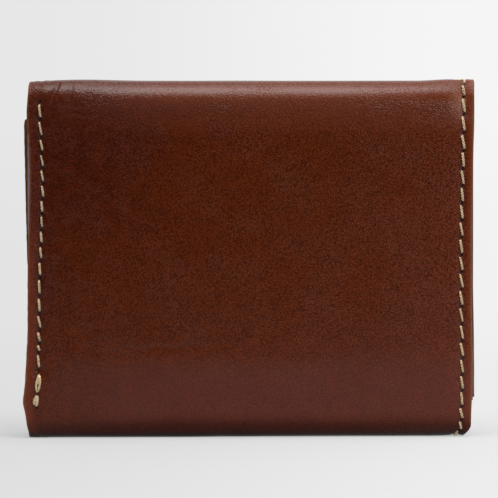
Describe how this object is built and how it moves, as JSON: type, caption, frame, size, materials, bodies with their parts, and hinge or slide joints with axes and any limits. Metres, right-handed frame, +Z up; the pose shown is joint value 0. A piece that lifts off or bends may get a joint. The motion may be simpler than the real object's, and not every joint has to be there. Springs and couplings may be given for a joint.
{
  "type": "trifold wallet",
  "caption": "Folded trifold leather wallet standing on its bottom fold, with stitched sides, a banknote compartment, card pockets and a clear window.",
  "frame": {"origin": "on the floor, under the middle of the closed wallet", "axes": "+X along the folds, towards the edge where the banknote compartment is sewn shut; +Y from the centre panel at the front to the outer leaf at the back; +Z up"},
  "size_m": [0.1044, 0.018, 0.0814],
  "materials": {
    "cover_leather": "satin",
    "inner_leather": "satin",
    "lining": "matt",
    "thread": "matt",
    "window": "clear gloss"
  },
  "bodies": {
    "center": {"center_cover": "cover_leather", "center_lining": "lining", "center_right_welt": "inner_leather", "center_divider": "inner_leather", "center_card_pocket_1": "inner_leather", "center_card_pocket_2": "inner_leather", "center_card_pocket_3": "inner_leather", "center_pocket_seam": "thread", "center_right_seam": "thread", "center_left_seam": "thread", "bottom_front_bend": "cover_leather", "bottom_front_bend_lining": "lining", "bottom_front_bend_seam": "thread", "bottom_spine_cover": "cover_leather", "bottom_spine_lining": "lining", "bottom_spine_seam": "thread"},
    "inner_leaf": {"bottom_rear_bend": "cover_leather", "bottom_rear_bend_lining": "lining", "bottom_rear_bend_seam": "thread", "inner_leaf_cover": "cover_leather", "inner_leaf_lining": "lining", "inner_leaf_right_welt": "inner_leather", "inner_leaf_divider": "inner_leather", "inner_leaf_card_pocket_1": "inner_leather", "inner_leaf_card_pocket_2": "inner_leather", "inner_leaf_card_pocket_3": "inner_leather", "inner_leaf_pocket_seam": "thread", "inner_leaf_right_seam": "thread", "inner_leaf_left_seam": "thread"},
    "top_spine": {"top_front_bend": "cover_leather", "top_front_bend_lining": "lining", "top_front_bend_seam": "thread", "top_spine_cover": "cover_leather", "top_spine_lining": "lining", "top_spine_seam": "thread"},
    "outer_leaf": {"top_rear_bend": "cover_leather", "top_rear_bend_lining": "lining", "top_rear_bend_seam": "thread", "outer_leaf_cover": "cover_leather", "outer_leaf_lining": "lining", "outer_leaf_right_welt": "inner_leather", "outer_leaf_divider": "inner_leather", "outer_leaf_pocket_back": "inner_leather", "outer_leaf_window": "window", "outer_leaf_window_frame": "inner_leather", "outer_leaf_window_border": "inner_leather", "outer_leaf_frame_seam": "thread", "outer_leaf_right_seam": "thread", "outer_leaf_left_seam": "thread"}
  },
  "joints": [
    {"name": "outer_leaf_fold", "type": "hinge", "parent": "top_spine", "child": "outer_leaf", "pos_m": [0, 0.00814, 0.08054], "axis": [1, 0, 0], "range_deg": [0, 90], "deforming": ["top_rear_bend", "top_rear_bend_lining", "top_rear_bend_seam"]},
    {"name": "top_spine_fold", "type": "hinge", "parent": "center", "child": "top_spine", "pos_m": [0, -0.00814, 0.08054], "axis": [1, 0, 0], "range_deg": [0, 90], "deforming": ["top_front_bend", "top_front_bend_lining", "top_front_bend_seam"]},
    {"name": "inner_leaf_fold", "type": "hinge", "parent": "center", "child": "inner_leaf", "pos_m": [0, 0.00114, 0.00086], "axis": [-1, 0, 0], "range_deg": [0, 90], "deforming": ["bottom_rear_bend", "bottom_rear_bend_lining", "bottom_rear_bend_seam"]}
  ],
  "couplings": [
    {"joint": "top_spine_fold", "follows": "outer_leaf_fold", "ratio": 1},
    {"joint": "inner_leaf_fold", "follows": "outer_leaf_fold", "ratio": 1}
  ]
}
